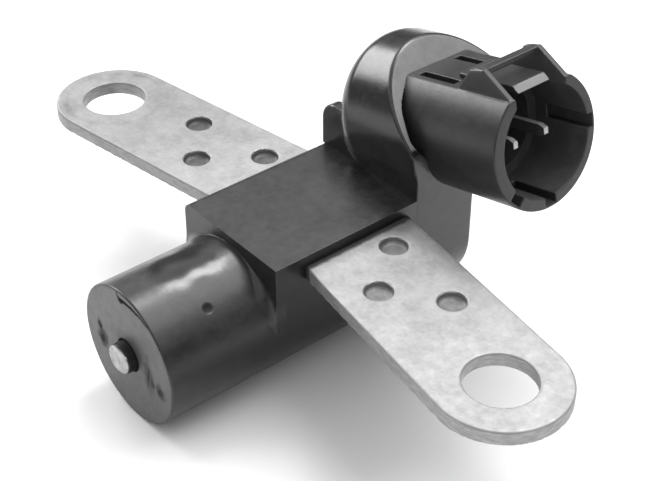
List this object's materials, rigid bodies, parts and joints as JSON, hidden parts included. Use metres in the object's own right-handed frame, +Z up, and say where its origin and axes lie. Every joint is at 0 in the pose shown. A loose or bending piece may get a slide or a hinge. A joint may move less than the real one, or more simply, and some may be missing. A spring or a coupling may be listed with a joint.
{
  "type": "crankshaft position sensor",
  "caption": "Inductive crankshaft position sensor: round nose with steel pole piece, moulded over a swept zinc-plated fixing plate, with an angled elbow and keyed connector socket.",
  "frame": {"origin": "midway between the two fixing holes, on the plate's seating face (its underside)", "axes": "+Z up out of the plate's upper face, +X along the line of holes towards the connector mouth, -Y along the nose"},
  "size_m": [0.097, 0.0617, 0.041],
  "materials": {
    "housing_plastic": "black glass-filled moulding, satin",
    "plate_zinc": "zinc-plated sheet, dull and mottled",
    "pole_steel": "bare steel end, worn edge",
    "magnet": "sintered magnet, dull grey",
    "bobbin_plastic": "dark grey moulding, ground flush with the nose",
    "coil_copper": "enamelled copper wire",
    "coil_tape": "amber insulating film",
    "terminal_tin": "tin-plated brass strip",
    "solder": "solder, dull"
  },
  "bodies": {
    "root": {"housing": "housing_plastic", "mounting_plate": "plate_zinc", "pole_piece": "pole_steel", "magnet": "magnet", "bobbin": "bobbin_plastic", "coil": "coil_copper", "coil_tape": "coil_tape", "terminal_front": "terminal_tin", "terminal_rear": "terminal_tin", "lead_left": "coil_copper", "lead_right": "coil_copper", "solder_left": "solder", "solder_right": "solder"}
  },
  "joints": []
}
